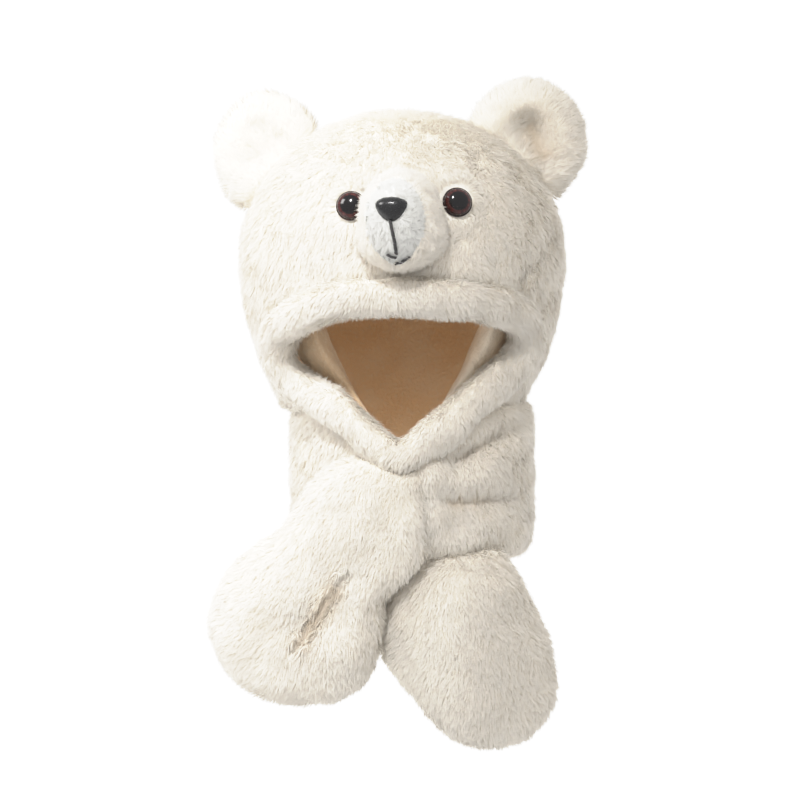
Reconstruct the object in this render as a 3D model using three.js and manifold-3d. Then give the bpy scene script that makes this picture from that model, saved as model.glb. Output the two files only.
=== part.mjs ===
// Animal hood scarf: a plush bear hood with a face band, ears and a stuffed muzzle, sewn to a
// short scarf that wraps the neck and ends in two padded tails. Units are millimetres, +Z is up,
// the face looks along -Y, and the origin is the inside of the crown, where a head bears on it.

import * as THREE from "three";
import { mergeVertices } from "three/addons/utils/BufferGeometryUtils.js";
import Module from "manifold-3d";

const wasm = await Module();
wasm.setup();

// Driving sizes

const GAP = 0.3; // left between two pieces that touch
const PLUSH = 12.4; // the plush wall with its pile pressed to half height
const LINING = 2.3; // the fleece lining
const BUILD_UP = PLUSH + GAP + LINING;

// The hood round the head, as two half ovals above and below its widest level.
const HEAD = {
  widest: BUILD_UP - 91.7,
  rise: 91.7,
  fall: 138,
  half: 103.5,
  front: 104,
  back: 110,
  neck: -168,
  neckEnd: -300,
};
const HEAD_GRID = { around: 28, dome: 10, neck: 3 };
const LINING_GRID = { around: 18, dome: 8, neck: 2 };

// The padded band round the face opening: its centre line, and half its width, from the wearer's
// left cheek over the brow to the right cheek and down to the point under the chin.
const BAND_STATIONS = [
  { x: 77.5, y: -57, z: -130, half: 9.5 },
  { x: 73, y: -68, z: -117.5, half: 10.5 },
  { x: 60, y: -83, z: -109.5, half: 11 },
  { x: 33, y: -99, z: -104.5, half: 11 },
  { x: 0, y: -105, z: -102, half: 11 },
  { x: -33, y: -99, z: -104.5, half: 11 },
  { x: -58, y: -84, z: -112.5, half: 11 },
  { x: -73, y: -69, z: -122, half: 11 },
  { x: -77.5, y: -58, z: -136, half: 11 },
  { x: -72, y: -56, z: -150, half: 10 },
  { x: -61, y: -59, z: -160, half: 9.5 },
  { x: -46, y: -69, z: -168, half: 9.5 },
  { x: -30, y: -79, z: -178.5, half: 9.5 },
  { x: -15, y: -86, z: -192.5, half: 9.5 },
  { x: -1, y: -89, z: -200, half: 10 },
  { x: 14, y: -86, z: -191, half: 10 },
  { x: 29, y: -80, z: -180, half: 10.5 },
  { x: 43, y: -73, z: -166.5, half: 10.5 },
  { x: 60, y: -64, z: -152.5, half: 10.5 },
  { x: 72, y: -57, z: -141.5, half: 10 },
];
const BAND = { thick: 11, square: 0.9, cheekTurn: 0.75, grid: { along: 52, around: 9 } };
// The face opening is cut along -Y from inside the head, about this middle; the lining's edge
// stands this much nearer to it than the band's centre line.
const FACE_CUT = { middle: { x: 1, z: -145 }, inner: -30, outer: -230, steps: 40, liningEdge: 7 };

// The soft rolls of lining inside each cheek, from the brow down to the chin.
const CHEEK_SECTIONS = [
  { x: 62, y: -50, z: -104, radius: 6 },
  { x: 63, y: -48, z: -118, radius: 13 },
  { x: 60, y: -46, z: -134, radius: 16 },
  { x: 50, y: -49, z: -152, radius: 14.5 },
  { x: 36, y: -57, z: -171, radius: 11.5 },
  { x: 20, y: -68, z: -190, radius: 8 },
];
const CHEEK_GRID = { around: 12, down: 8 };

// The scarf where it wraps the neck.
const WRAP = {
  centre: { x: 6.5, y: 2 },
  half: 70,
  front: 77,
  back: 76,
  thick: 7.5,
  frontThick: 10,
  top: HEAD.neck - GAP / 2,
  bottom: -269,
  frontLift: 5,
  wallSquare: 0.45,
  rimSquare: 0.75,
  liningHem: 4, // how far above the wrap's edge the lining ends
  grid: { around: 36, section: 12 },
};

// Folds pressed into the cloth: where each starts and ends, half its width and half its depth.
const WRAP_FOLDS = [
  { from: [20, -88, -226], to: [80, -56, -228], wide: 3.5, deep: 9 },
  { from: [24, -88, -205], to: [82, -52, -177], wide: 4, deep: 8 },
];
const LEFT_END_FOLD = { from: [-29, -103, -265], to: [-70, -103, -320], wide: 6, deep: 19 };
const FOLD_GRID = { around: 10, down: 8 };

// The scarf's two ends as level sections: the left and right edges and the front and back faces.
const LEFT_END_SECTIONS = [
  { z: -199, left: -26, right: 2, front: -90, back: -72 },
  { z: -207, left: -44, right: 14, front: -96, back: -68 },
  { z: -222, left: -59, right: 18.5, front: -101, back: -66 },
  { z: -238, left: -66.5, right: 18.5, front: -103, back: -64 },
  { z: -250, left: -80, right: 17.5, front: -104, back: -63 },
  { z: -262, left: -97, right: 14.5, front: -106, back: -62 },
  { z: -274, left: -107, right: 1.5, front: -107, back: -62 },
  { z: -286, left: -113, right: -11.5, front: -108, back: -63 },
  { z: -300, left: -115.5, right: -13.5, front: -108, back: -64 },
  { z: -314, left: -113, right: -14.5, front: -107, back: -65 },
  { z: -326, left: -107, right: -18, front: -105, back: -67 },
  { z: -336, left: -98, right: -23.5, front: -102, back: -70 },
  { z: -344, left: -87, right: -33, front: -97, back: -75 },
  { z: -350, left: -71, right: -50, front: -90, back: -82 },
];
const RIGHT_END_SECTIONS = [
  { z: -255, left: 32, right: 56, front: -70, back: -58 },
  { z: -263, left: 14, right: 64, front: -77, back: -54 },
  { z: -274, left: 1, right: 70, front: -84, back: -50 },
  { z: -286, left: -9, right: 77, front: -89, back: -48 },
  { z: -300, left: -15, right: 84, front: -91, back: -47 },
  { z: -314, left: -15, right: 89.5, front: -92, back: -47 },
  { z: -328, left: -8, right: 93.5, front: -92, back: -48 },
  { z: -341, left: 3, right: 94, front: -91, back: -49 },
  { z: -353, left: 13.5, right: 92.5, front: -89, back: -52 },
  { z: -364, left: 25, right: 86.5, front: -86, back: -56 },
  { z: -372, left: 37, right: 78.5, front: -82, back: -61 },
  { z: -378, left: 50, right: 66, front: -77, back: -67 },
];
const END_SQUARE = 0.8;
const LEFT_END_GRID = { around: 26, down: 20 };
const RIGHT_END_GRID = { around: 24, down: 16 };

// The ears: flat padded discs with a hollow in front.
const EAR = { thick: 14, square: 0.85, hollow: 6, hollowWide: 17 };
const EARS = [
  { name: "ear_left", x: -85, y: -6, z: -12.5, half: 34, tall: 39.5, turn: 0.1 },
  { name: "ear_right", x: 79.5, y: -6, z: -4.5, half: 37, tall: 39.5, turn: -0.1 },
];
const EAR_GRID = { around: 22, down: 10 };

// The muzzle: sections along its axis from inside the hood to its front.
const MUZZLE = { x: 2.5, y: -88, z: -58.5, swing: -0.15, grid: { around: 20, along: 10 } };
const MUZZLE_SECTIONS = [
  { reach: 0, half: 28.5, tall: 28 },
  { reach: 16, half: 30, tall: 29.5 },
  { reach: 29, half: 28, tall: 29 },
  { reach: 39, half: 24, tall: 26.5 },
  { reach: 46.5, half: 18, tall: 21.5 },
  { reach: 51.5, half: 11, tall: 14 },
  { reach: 53.5, half: 5, tall: 6 },
];
const MUZZLE_PANEL = { thick: 3, half: 16, tall: 23.5, x: 0, z: -1, from: 30, to: 70, steps: 10 };

// The nose: wider at the top by taper, its lower tip drawn down by tip.
const NOSE = { half: 9.4, tall: 6.6, tip: 2, deep: 6.5, taper: 0.3, square: 0.8 };
const NOSE_PLACE = { x: -1, z: 6, reach: 51.5 };
const NOSE_GRID = { around: 16, down: 8 };

// The plastic eyes: domed buttons sunk into the pile.
const EYE = { radius: 9.6, dome: 5.2, rim: 1.6, sunk: 2.2, steps: 4, around: 18 };
const EYES = [
  { name: "eye_left", x: -29.5, z: -49.5 },
  { name: "eye_right", x: 32.5, z: -46 },
];

// Forms

const point = (x, y, z) => new THREE.Vector3(x, y, z);
const clampUnit = (value) => Math.min(1, Math.max(-1, value));
const bulge = (value, power) => Math.sign(value) * Math.abs(value) ** power;

// Moves every vertex of a geometry to where place puts it.
function reshaped(geometry, place) {
  const position = geometry.attributes.position;
  for (let i = 0; i < position.count; i++) {
    const at = place(point().fromBufferAttribute(position, i));
    position.setXYZ(i, at.x, at.y, at.z);
  }
  return geometry;
}

// A closed form on a ball's grid: place gets the turn round +Z and the share of the way from the
// top pole to the bottom one.
function ball(around, down, place) {
  const unit = new THREE.SphereGeometry(1, around, down).rotateX(Math.PI / 2);
  return reshaped(unit, (v) =>
    place(Math.atan2(v.y, v.x), Math.acos(clampUnit(v.z)) / Math.PI),
  );
}

// A closed form on a ring's grid: place gets the turn round +Z and the lap round the section,
// which starts at the outside and goes over the top.
function ring(around, section, place) {
  const unit = new THREE.TorusGeometry(2, 1, section, around);
  return reshaped(unit, (v) =>
    place(Math.atan2(v.y, v.x), Math.atan2(v.z, Math.hypot(v.x, v.y) - 2)),
  );
}

// A smooth reading of one column of a table at a share of the way down its rows.
function reader(rows, column) {
  const line = new THREE.CatmullRomCurve3(
    rows.map((row, i) => point(i, row[column], 0)),
    false,
    "catmullrom",
    0.5,
  );
  return (share) => line.getPoint(Math.min(1, Math.max(0, share))).y;
}

// The slender form that presses a fold into cloth: a lens along the fold, deep along Y.
function foldForm({ from, to, wide, deep }) {
  const start = point(...from);
  const end = point(...to);
  const along = end.clone().sub(start);
  const inward = point(0, 1, 0);
  const across = along.clone().cross(inward).normalize();
  const frame = new THREE.Matrix4().makeBasis(
    across.multiplyScalar(wide),
    inward.multiplyScalar(deep),
    along.clone().multiplyScalar(-0.5),
  );
  frame.setPosition(start.add(along.multiplyScalar(0.5)));
  const { around, down } = FOLD_GRID;
  return new THREE.SphereGeometry(1, around, down).rotateX(Math.PI / 2).applyMatrix4(frame);
}

// Head and neck

// A point of the outside of hood and neck, at a turn round the head and a share of the way down:
// the two half ovals to the neck, then the straight neck, then across its flat end.
function headPoint(turn, share, { dome, neck }) {
  const rows = share * (dome + neck);
  const neckAngle = Math.acos((HEAD.neck - HEAD.widest) / HEAD.fall);
  const angle = Math.min(1, rows / dome) * neckAngle;
  const rise = angle < Math.PI / 2 ? HEAD.rise : HEAD.fall;
  const drop = Math.min(1, Math.max(0, rows - dome) / (neck - 1)) * (HEAD.neck - HEAD.neckEnd);
  const depth = Math.sin(turn) < 0 ? HEAD.front : HEAD.back;
  const open = share > 0 && share < 1 ? Math.sin(angle) : 0;
  return point(
    HEAD.half * open * Math.cos(turn),
    depth * open * Math.sin(turn),
    HEAD.widest + rise * Math.cos(angle) - drop,
  );
}

// The closed form of head and neck, drawn in from the hood's outside by inset.
function headForm(inset, grid = HEAD_GRID) {
  const { around, dome, neck } = grid;
  const step = 1e-3;
  return ball(around, dome + neck, (turn, share) => {
    const at = headPoint(turn, share, grid);
    if (share < step) return at.add(point(0, 0, -inset));
    if (share > 1 - step) return at;
    const outward = point(Math.cos(turn), Math.sin(turn), 0);
    if (share * (dome + neck) < dome + neck - 1.5) {
      const round = headPoint(turn + step, share, grid).sub(headPoint(turn - step, share, grid));
      const down = headPoint(turn, share + step, grid).sub(headPoint(turn, share - step, grid));
      outward.crossVectors(down, round).normalize();
    }
    return at.sub(outward.multiplyScalar(inset));
  });
}

// The band round the face, swollen by grow.
function bandForm(grow) {
  const line = new THREE.CatmullRomCurve3(
    BAND_STATIONS.map((s) => point(s.x, s.y, s.z)),
    true,
  );
  const halves = reader([...BAND_STATIONS, BAND_STATIONS[0]], "half");
  return ring(BAND.grid.along, BAND.grid.around, (turn, lap) => {
    const share = (turn / (2 * Math.PI) + 1) % 1;
    const at = line.getPoint(share);
    const facing = point((BAND.cheekTurn * at.x) / HEAD.half, -1, 0).normalize();
    const outward = line.getTangent(share).cross(facing).normalize();
    const wide = (halves(share) + grow) * bulge(Math.cos(lap), BAND.square);
    const proud = (BAND.thick + grow) * bulge(Math.sin(lap), BAND.square);
    return at.add(outward.multiplyScalar(wide)).add(facing.multiplyScalar(proud));
  });
}

// What is cut from a wall for the face opening: the band's centre line drawn in by inset.
function faceCut(inset) {
  const { middle, inner, outer, steps } = FACE_CUT;
  const outline = BAND_STATIONS.map((s) => {
    const from = new THREE.Vector2(s.x - middle.x, s.z - middle.z);
    return from.setLength(from.length() - inset).add(new THREE.Vector2(middle.x, middle.z));
  });
  const smooth = new THREE.SplineCurve([...outline, outline[0]]).getPoints(steps).slice(0, -1);
  const extent = { depth: inner - outer, bevelEnabled: false };
  return new THREE.ExtrudeGeometry(new THREE.Shape(smooth), extent)
    .rotateX(Math.PI / 2)
    .translate(0, inner, 0);
}

// One soft roll of lining inside a cheek, on the side given as 1 or -1.
function cheekForm(side) {
  const [x, y, z, radius] = ["x", "y", "z", "radius"].map((c) => reader(CHEEK_SECTIONS, c));
  return ball(CHEEK_GRID.around, CHEEK_GRID.down, (turn, share) => {
    const open = share > 0 && share < 1 ? radius(share) : 0;
    return point(
      side * x(share) + open * Math.cos(turn),
      y(share) + open * Math.sin(turn),
      z(share),
    );
  });
}

// The scarf

function wrapForm(grow) {
  const { centre, top, bottom, grid } = WRAP;
  const tall = (top - bottom) / 2;
  return ring(grid.around, grid.section, (turn, lap) => {
    const frontness = Math.max(0, -Math.sin(turn));
    const depth = Math.sin(turn) < 0 ? WRAP.front : WRAP.back;
    const thick = WRAP.thick + (WRAP.frontThick - WRAP.thick) * frontness + grow;
    const lift = Math.sin(lap) < 0 ? WRAP.frontLift * frontness : 0;
    const z = (top + bottom) / 2 + (tall + grow - lift) * bulge(Math.sin(lap), WRAP.rimSquare);
    const out = thick * bulge(Math.cos(lap), WRAP.wallSquare);
    return point(
      centre.x + (WRAP.half + out) * Math.cos(turn),
      centre.y + (depth + out) * Math.sin(turn),
      z,
    );
  });
}

// One end of the scarf from its table of sections, swollen by grow.
function endForm(rows, grid, grow) {
  const read = Object.fromEntries(
    ["z", "left", "right", "front", "back"].map((column) => [column, reader(rows, column)]),
  );
  return ball(grid.around, grid.down, (turn, share) => {
    const open = share > 0 && share < 1 ? 1 : 0;
    const lift = grow * Math.cos(share * Math.PI);
    const half = ((read.right(share) - read.left(share)) / 2 + grow) * open;
    const deep = ((read.back(share) - read.front(share)) / 2 + grow) * open;
    return point(
      (read.right(share) + read.left(share)) / 2 + half * bulge(Math.cos(turn), END_SQUARE),
      (read.back(share) + read.front(share)) / 2 + deep * bulge(Math.sin(turn), END_SQUARE),
      read.z(share) + lift,
    );
  });
}

// Ears and face

function earForm({ half, tall }) {
  const { thick, square, hollow, hollowWide } = EAR;
  return ball(EAR_GRID.around, EAR_GRID.down, (turn, share) => {
    const angle = share * Math.PI;
    const open = bulge(Math.sin(angle), square);
    const at = point(
      half * open * Math.cos(turn),
      tall * open * Math.sin(turn),
      thick * Math.cos(angle),
    );
    if (at.z > 0) at.z -= hollow * Math.exp(-(((open * half) / hollowWide) ** 2));
    return at;
  }).rotateX(Math.PI / 2);
}

// Puts a form made about the muzzle's own axis, which points along +Z there, on the face.
function onMuzzle(geometry) {
  return geometry
    .rotateX(Math.PI / 2)
    .rotateZ(MUZZLE.swing)
    .translate(MUZZLE.x, MUZZLE.y, MUZZLE.z);
}

function muzzleForm(grow) {
  const [reach, half, tall] = ["reach", "half", "tall"].map((c) => reader(MUZZLE_SECTIONS, c));
  const { around, along } = MUZZLE.grid;
  return onMuzzle(
    ball(around, along, (turn, share) => {
      const up = 1 - share;
      const open = share > 0 && share < 1 ? 1 : 0;
      return point(
        (half(up) + grow) * Math.cos(turn) * open,
        (tall(up) + grow) * Math.sin(turn) * open,
        reach(up) + grow * up,
      );
    }),
  );
}

// The oval column that cuts the short-pile panel out of the muzzle's front.
function panelCut(grow) {
  const { half, tall, x, z, from, to, steps } = MUZZLE_PANEL;
  const oval = new THREE.Shape().absellipse(x, z, half + grow, tall + grow, 0, 2 * Math.PI);
  const extent = { depth: to - from, bevelEnabled: false, curveSegments: steps };
  return onMuzzle(new THREE.ExtrudeGeometry(oval, extent).translate(0, 0, from));
}

function noseForm() {
  const { half, tall, tip, deep, taper, square } = NOSE;
  const { x, z, reach } = NOSE_PLACE;
  return onMuzzle(
    ball(NOSE_GRID.around, NOSE_GRID.down, (turn, share) => {
      const angle = share * Math.PI;
      const across = bulge(Math.sin(angle), square);
      const up = Math.sin(turn) * across;
      return point(
        x + half * Math.cos(turn) * across * (1 + taper * up),
        z + tall * up + tip * Math.min(0, up),
        reach + deep * Math.cos(angle),
      );
    }),
  );
}

// An eye on its own axis +Z, swollen by grow.
function eyeForm(grow) {
  const { radius, dome, rim, sunk, steps, around } = EYE;
  const profile = [
    new THREE.Vector2(0, -sunk - grow),
    new THREE.Vector2(radius + grow, -sunk - grow),
  ];
  for (let i = 0; i < steps; i++) {
    const angle = ((i / steps) * Math.PI) / 2;
    profile.push(
      new THREE.Vector2((radius + grow) * Math.cos(angle), rim + (dome + grow) * Math.sin(angle)),
    );
  }
  profile.push(new THREE.Vector2(0, rim + dome + grow));
  return new THREE.LatheGeometry(profile, around).rotateX(Math.PI / 2);
}

// An eye's place on the hood's front at x and z, and its facing, half way to straight ahead.
function eyeSeat(x, z) {
  const rise = z > HEAD.widest ? HEAD.rise : HEAD.fall;
  const up = (z - HEAD.widest) / rise;
  const across = x / HEAD.half;
  const y = -HEAD.front * Math.sqrt(1 - up * up - across * across);
  const normal = point(x / HEAD.half ** 2, y / HEAD.front ** 2, (z - HEAD.widest) / rise ** 2);
  const facing = normal.normalize().add(point(0, -1, 0)).normalize();
  return { at: point(x, y, z), facing };
}

function placedEye(eye, grow) {
  const seat = eyeSeat(eye.x, eye.z);
  const turn = new THREE.Quaternion().setFromUnitVectors(point(0, 0, 1), seat.facing);
  return eyeForm(grow).applyQuaternion(turn).translate(seat.at.x, seat.at.y, seat.at.z);
}

// Solids

// A closed geometry as a solid that can be cut and joined.
function solid(geometry) {
  const bare = geometry.clone();
  bare.deleteAttribute("normal");
  bare.deleteAttribute("uv");
  const merged = mergeVertices(bare, 1e-3);
  return new wasm.Manifold(
    new wasm.Mesh({
      numProp: 3,
      vertProperties: merged.attributes.position.array,
      triVerts: new Uint32Array(merged.index.array),
    }),
  );
}

// All that lies below a level, and all that lies above one, within reach of the part.
const REACH = 400;
const below = (level) =>
  solid(new THREE.BoxGeometry(REACH, REACH, REACH).translate(0, 0, level - REACH / 2));
const above = (level) =>
  solid(new THREE.BoxGeometry(REACH, REACH, REACH).translate(0, 0, level + REACH / 2));

function cutBy(body, ...tools) {
  return tools.reduce((rest, tool) => rest.subtract(tool), body);
}

// The largest body of a solid, without the slivers that a cut leaves loose.
function mainBody(body) {
  return body.decompose().reduce((a, b) => (a.volume() > b.volume() ? a : b));
}

function geometryOf(body) {
  const { vertProperties, triVerts, numProp } = body.getMesh();
  const geometry = new THREE.BufferGeometry();
  const count = vertProperties.length / numProp;
  const places = new Float32Array(count * 3);
  for (let i = 0; i < count; i++) {
    for (let k = 0; k < 3; k++) places[i * 3 + k] = vertProperties[i * numProp + k];
  }
  geometry.setAttribute("position", new THREE.BufferAttribute(places, 3));
  geometry.setIndex([...triVerts]);
  geometry.computeVertexNormals();
  return geometry;
}

const outside = solid(headForm(0));
const plushInside = solid(headForm(PLUSH));
const clearOfHood = solid(headForm(-GAP));
const band = solid(bandForm(0));
const clearOfBand = solid(bandForm(GAP));
const eyeSockets = EYES.map((eye) => solid(placedEye(eye, GAP)));

const hoodShell = mainBody(
  cutBy(outside, plushInside, below(HEAD.neck), solid(faceCut(0)), clearOfBand, ...eyeSockets),
);

const liningOutside = solid(headForm(PLUSH + GAP));
const cheeks = [1, -1].map((side) => solid(cheekForm(side)).intersect(liningOutside));
const liningWall = cutBy(
  liningOutside,
  solid(headForm(BUILD_UP, LINING_GRID)),
  solid(faceCut(FACE_CUT.liningEdge)),
);
const hoodLining = mainBody(
  cutBy(
    cheeks.reduce((all, cheek) => all.add(cheek), liningWall),
    below(WRAP.bottom + WRAP.liningHem),
    clearOfBand,
  ),
);

const wrap = mainBody(
  cutBy(
    solid(wrapForm(0)),
    plushInside,
    above(WRAP.top),
    solid(faceCut(0)),
    clearOfBand,
    ...WRAP_FOLDS.map((fold) => solid(foldForm(fold))),
  ),
);
const clearOfWrap = solid(wrapForm(GAP));
const leftEnd = mainBody(
  cutBy(
    solid(endForm(LEFT_END_SECTIONS, LEFT_END_GRID, 0)),
    clearOfWrap,
    clearOfBand,
    plushInside,
    solid(foldForm(LEFT_END_FOLD)),
  ),
);
const rightEnd = mainBody(
  cutBy(
    solid(endForm(RIGHT_END_SECTIONS, RIGHT_END_GRID, 0)),
    clearOfWrap,
    solid(endForm(LEFT_END_SECTIONS, LEFT_END_GRID, GAP)),
    plushInside,
  ),
);

// The muzzle, whose panel lies in a pocket as deep as itself.
const muzzleWhole = solid(muzzleForm(0));
const underPanel = solid(muzzleForm(-MUZZLE_PANEL.thick - GAP));
const muzzle = mainBody(
  cutBy(
    muzzleWhole,
    clearOfHood,
    solid(panelCut(GAP)).subtract(underPanel),
    clearOfBand,
    ...eyeSockets,
  ),
);
const muzzlePanel = muzzleWhole
  .intersect(solid(panelCut(0)))
  .subtract(solid(muzzleForm(-MUZZLE_PANEL.thick)));
const nose = mainBody(cutBy(solid(noseForm()), solid(muzzleForm(GAP))));

// The part

const colours = {
  plush: { color: 0xf3ece2, roughness: 0.95 },
  lining: { color: 0xc9a27a, roughness: 0.9 },
  shortPile: { color: 0xecebe6, roughness: 0.9 },
  blackPlastic: { color: 0x0c0c0d, roughness: 0.15 },
  eyePlastic: { color: 0x2c1210, roughness: 0.1 },
};

const hoodScarf = new THREE.Group();

function add(name, body, finish) {
  const material = new THREE.MeshStandardMaterial({ ...colours[finish], metalness: 0 });
  const mesh = new THREE.Mesh(geometryOf(body), material);
  mesh.name = name;
  hoodScarf.add(mesh);
}

add("hood_shell", hoodShell, "plush");
add("hood_lining", hoodLining, "lining");
add("face_band", band, "plush");
add("neck_wrap", wrap, "plush");
add("scarf_end_left", leftEnd, "plush");
add("scarf_end_right", rightEnd, "plush");
for (const ear of EARS) {
  const form = earForm(ear).rotateZ(ear.turn).translate(ear.x, ear.y, ear.z);
  add(ear.name, mainBody(cutBy(solid(form), clearOfHood)), "plush");
}
add("muzzle", muzzle, "plush");
add("muzzle_panel", muzzlePanel, "shortPile");
add("nose", nose, "blackPlastic");
for (const eye of EYES) add(eye.name, solid(placedEye(eye, 0)), "eyePlastic");

export default hoodScarf;
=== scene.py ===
"""The looks of a plush bear hood scarf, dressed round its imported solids.

Each soft piece is a padded base made from a copy of its solid, with a pile of bent fibres on it. The eyes,
the nose and the stitched mouth are modelled pieces. Everything is in metres in the solids' own frame: +Z up
out of the crown, -Y the way the face looks, +X to the viewer's right.
"""

import logging
import math
from collections.abc import Callable, Mapping, Sequence
from dataclasses import dataclass, field
from enum import Enum
from typing import Any

import bpy
import numpy as np
from mathutils import Matrix, Vector
from mathutils.bvhtree import BVHTree
from mathutils.kdtree import KDTree


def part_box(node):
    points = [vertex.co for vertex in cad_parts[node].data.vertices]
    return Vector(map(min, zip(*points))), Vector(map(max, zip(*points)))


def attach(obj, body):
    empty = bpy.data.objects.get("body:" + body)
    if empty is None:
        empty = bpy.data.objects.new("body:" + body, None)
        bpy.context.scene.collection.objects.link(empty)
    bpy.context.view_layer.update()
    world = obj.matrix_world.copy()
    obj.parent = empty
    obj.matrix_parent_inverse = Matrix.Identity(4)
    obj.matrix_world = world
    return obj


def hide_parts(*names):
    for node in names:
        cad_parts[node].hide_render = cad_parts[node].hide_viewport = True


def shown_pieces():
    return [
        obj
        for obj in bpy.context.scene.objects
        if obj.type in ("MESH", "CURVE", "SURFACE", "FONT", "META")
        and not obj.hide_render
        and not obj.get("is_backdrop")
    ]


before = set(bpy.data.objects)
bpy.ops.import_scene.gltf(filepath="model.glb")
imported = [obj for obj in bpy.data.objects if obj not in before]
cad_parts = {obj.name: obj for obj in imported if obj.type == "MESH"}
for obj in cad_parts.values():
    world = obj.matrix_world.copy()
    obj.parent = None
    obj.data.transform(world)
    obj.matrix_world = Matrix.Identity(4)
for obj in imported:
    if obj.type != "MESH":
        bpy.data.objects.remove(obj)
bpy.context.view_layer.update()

log = logging.getLogger("hood")

Array = np.ndarray
Colour = tuple[float, float, float, float]
Place = tuple[float, float, float]
Comb = Callable[[Array, Array], Array]
Stroke = tuple[tuple[float, float], ...]

DOWN = np.array([0.0, 0.0, -1.0])
BODY = "root"
MERGE = 2e-5  # loose corners nearer than this are one


class Slot(Enum):
    """The record's material slots."""

    PLUSH = "long_pile_plush"
    FLEECE = "fleece_lining"
    SHORT_PILE = "short_pile_plush"
    NOSE = "black_plastic"
    EYE = "eye_plastic"
    THREAD = "mouth_thread"


# Working with pieces


def deselect_all() -> None:
    """Leaves nothing selected, so that an operator acts on one piece alone."""
    bpy.ops.object.select_all(action="DESELECT")


def activate(piece: bpy.types.Object) -> None:
    """Selects one piece alone and makes it the active one."""
    deselect_all()
    piece.select_set(True)
    bpy.context.view_layer.objects.active = piece


def apply_modifier(piece: bpy.types.Object, kind: str, **settings: Any) -> None:
    """Adds a modifier and applies it.

    Args:
        piece: the piece to change.
        kind: the modifier's type, such as SUBSURF.
        settings: the modifier's own settings.
    """
    activate(piece)
    modifier = piece.modifiers.new(kind.title(), kind)
    for name, value in settings.items():
        setattr(modifier, name, value)
    bpy.ops.object.modifier_apply(modifier=modifier.name)


def copy_of(node: str, name: str) -> bpy.types.Object:
    """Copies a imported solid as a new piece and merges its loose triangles.

    Args:
        node: the solid's name.
        name: the new piece's name.

    Returns:
        The new piece, with a mesh of its own.
    """
    piece = bpy.data.objects.new(name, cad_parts[node].data.copy())
    bpy.context.scene.collection.objects.link(piece)
    piece.data.materials.clear()
    activate(piece)
    bpy.ops.object.mode_set(mode="EDIT")
    bpy.ops.mesh.select_all(action="SELECT")
    bpy.ops.mesh.remove_doubles(threshold=MERGE)
    bpy.ops.mesh.normals_make_consistent(inside=False)
    bpy.ops.object.mode_set(mode="OBJECT")
    return piece


def points_of(mesh: bpy.types.Mesh) -> Array:
    """Gives a mesh's vertices, a row each."""
    flat = np.empty(len(mesh.vertices) * 3, np.float32)
    mesh.vertices.foreach_get("co", flat)
    return flat.reshape(-1, 3).astype(float)


def move_points(mesh: bpy.types.Mesh, points: Array) -> None:
    """Puts a mesh's vertices at new places, a row each."""
    mesh.vertices.foreach_set("co", points.astype(np.float32).ravel())
    mesh.update()


def normals_of(mesh: bpy.types.Mesh) -> Array:
    """Gives the smooth normal at each vertex, a row each."""
    flat = np.empty(len(mesh.vertices) * 3, np.float32)
    mesh.vertex_normals.foreach_get("vector", flat)
    return flat.reshape(-1, 3).astype(float)


def tree_of(mesh: bpy.types.Mesh) -> BVHTree:
    """Gives a mesh's faces in a tree that finds the nearest of them."""
    return BVHTree.FromPolygons(points_of(mesh).tolist(), [tuple(face.vertices) for face in mesh.polygons])


def unit(vectors: Array) -> Array:
    """Scales each row to a length of one."""
    return vectors / np.maximum(np.linalg.norm(vectors, axis=1, keepdims=True), 1e-9)


def along(a: Array, b: Array) -> Array:
    """Gives the dot product of each pair of rows, as a column."""
    return np.sum(a * b, axis=1, keepdims=True)


def finish_piece(piece: bpy.types.Object, material: bpy.types.Material, slot: Slot, *nodes: str) -> None:
    """Dresses a piece, seats it on the body and hides the solids that it stands for.

    Args:
        piece: the finished piece.
        material: its finish.
        slot: the record's slot for that finish; not used.
        nodes: the solids that it replaces, if any.
    """
    piece.data.materials.clear()
    piece.data.materials.append(material)
    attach(piece, BODY)
    if nodes:
        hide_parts(*nodes)
    log.info("%s: %d faces", piece.name, len(piece.data.polygons))


# Shader maths


class Wire:
    """A value in a node tree, which adds Math nodes as it is used in an expression."""

    def __init__(self, recipe: "Recipe", socket: bpy.types.NodeSocket) -> None:
        """Wraps an output socket of a recipe's tree."""
        self.recipe = recipe
        self.socket = socket

    def _math(self, operation: str, first: "Wire | float", second: "Wire | float") -> "Wire":
        """Adds one Math node.

        Args:
            operation: the node's operation.
            first: its first value.
            second: its second value.

        Returns:
            The node's result.
        """
        node = self.recipe.node("ShaderNodeMath", {"operation": operation}, {0: first, 1: second})
        return Wire(self.recipe, node.outputs[0])

    def __add__(self, other: "Wire | float") -> "Wire":
        """self + other."""
        return self._math("ADD", self, other)

    def __radd__(self, other: float) -> "Wire":
        """other + self."""
        return self._math("ADD", other, self)

    def __sub__(self, other: "Wire | float") -> "Wire":
        """self - other."""
        return self._math("SUBTRACT", self, other)

    def __rsub__(self, other: float) -> "Wire":
        """other - self."""
        return self._math("SUBTRACT", other, self)

    def __mul__(self, other: "Wire | float") -> "Wire":
        """self * other."""
        return self._math("MULTIPLY", self, other)

    def __rmul__(self, other: float) -> "Wire":
        """other * self."""
        return self._math("MULTIPLY", other, self)

    def __pow__(self, other: float) -> "Wire":
        """self ** other."""
        return self._math("POWER", self, other)

    def step(self, low: float, high: float) -> "Wire":
        """Turns the value into a share that rises smoothly.

        Args:
            low: the value up to which the share is 0.
            high: the value from which it is 1.

        Returns:
            The share.
        """
        settings = {"interpolation_type": "SMOOTHSTEP"}
        node = self.recipe.node("ShaderNodeMapRange", settings, {0: self, 1: low, 2: high, 3: 0.0, 4: 1.0})
        return Wire(self.recipe, node.outputs[0])


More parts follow.
